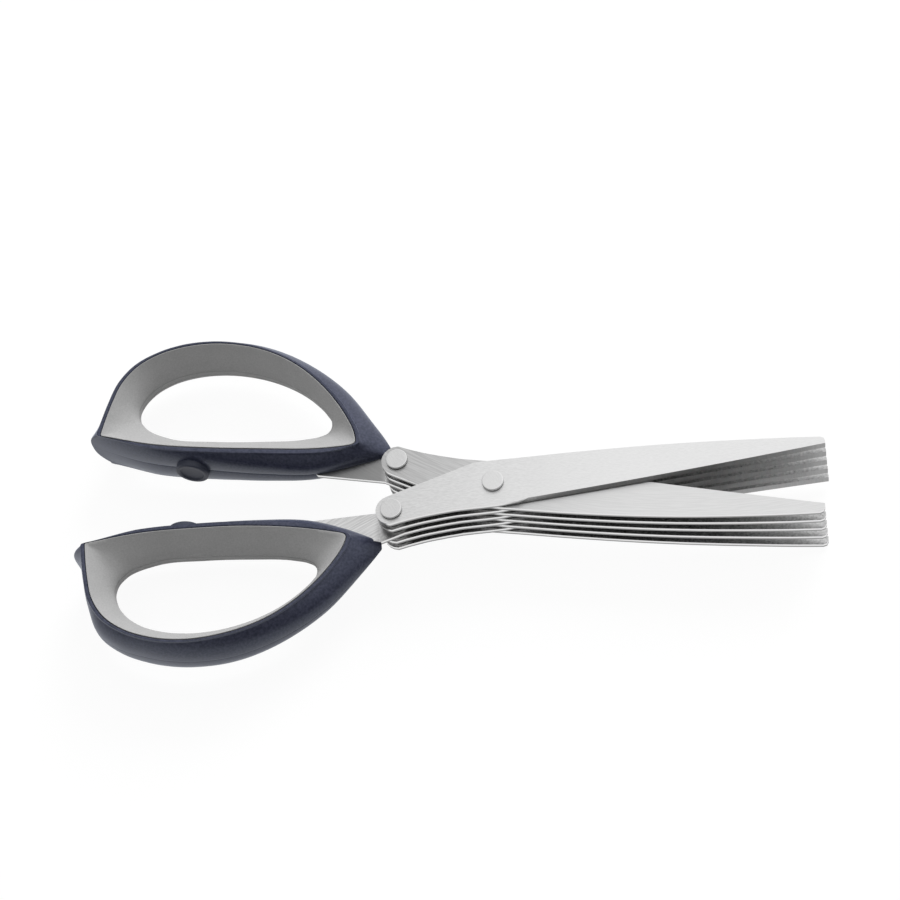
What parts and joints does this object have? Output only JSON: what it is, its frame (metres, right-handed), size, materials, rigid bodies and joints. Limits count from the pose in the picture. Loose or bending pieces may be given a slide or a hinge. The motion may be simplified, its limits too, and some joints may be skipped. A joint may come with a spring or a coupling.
{
  "type": "herb scissors",
  "caption": "Herb scissors with two stacked sets of thin blades on one pivot and large loop handles with soft grips.",
  "frame": {"origin": "centre of the flat face of the pivot rivet's lower head, on the pivot axis", "axes": "+X to the blade tips, +Z along the pivot axis out of the upper head; the finger handle lies towards -Y and the thumb handle towards +Y"},
  "size_m": [0.201, 0.0962, 0.022],
  "materials": {
    "blade_steel": "brushed",
    "rivet_steel": "satin",
    "slate_plastic": "satin, fine grain",
    "grey_rubber": "soft touch",
    "bumper_rubber": "soft touch"
  },
  "bodies": {
    "finger_half": {"finger_blade_1": "blade_steel", "finger_blade_2": "blade_steel", "finger_blade_3": "blade_steel", "finger_blade_4": "blade_steel", "finger_blade_5": "blade_steel", "finger_spacer_1": "blade_steel", "finger_spacer_2": "blade_steel", "finger_spacer_3": "blade_steel", "finger_spacer_4": "blade_steel", "finger_rear_rivet": "rivet_steel", "finger_handle_shell": "slate_plastic", "finger_handle_grip": "grey_rubber", "finger_bumper": "bumper_rubber", "pivot_rivet": "rivet_steel"},
    "thumb_half": {"thumb_blade_1": "blade_steel", "thumb_blade_2": "blade_steel", "thumb_blade_3": "blade_steel", "thumb_blade_4": "blade_steel", "thumb_blade_5": "blade_steel", "thumb_spacer_1": "blade_steel", "thumb_spacer_2": "blade_steel", "thumb_spacer_3": "blade_steel", "thumb_spacer_4": "blade_steel", "thumb_rear_rivet": "rivet_steel", "thumb_handle_shell": "slate_plastic", "thumb_handle_grip": "grey_rubber", "thumb_bumper": "bumper_rubber"}
  },
  "joints": [
    {"name": "pivot", "type": "hinge", "parent": "finger_half", "child": "thumb_half", "pos_m": [0, 0, 0.00932], "axis": [0, 0, 1], "range_deg": [-40, 10.8]}
  ]
}
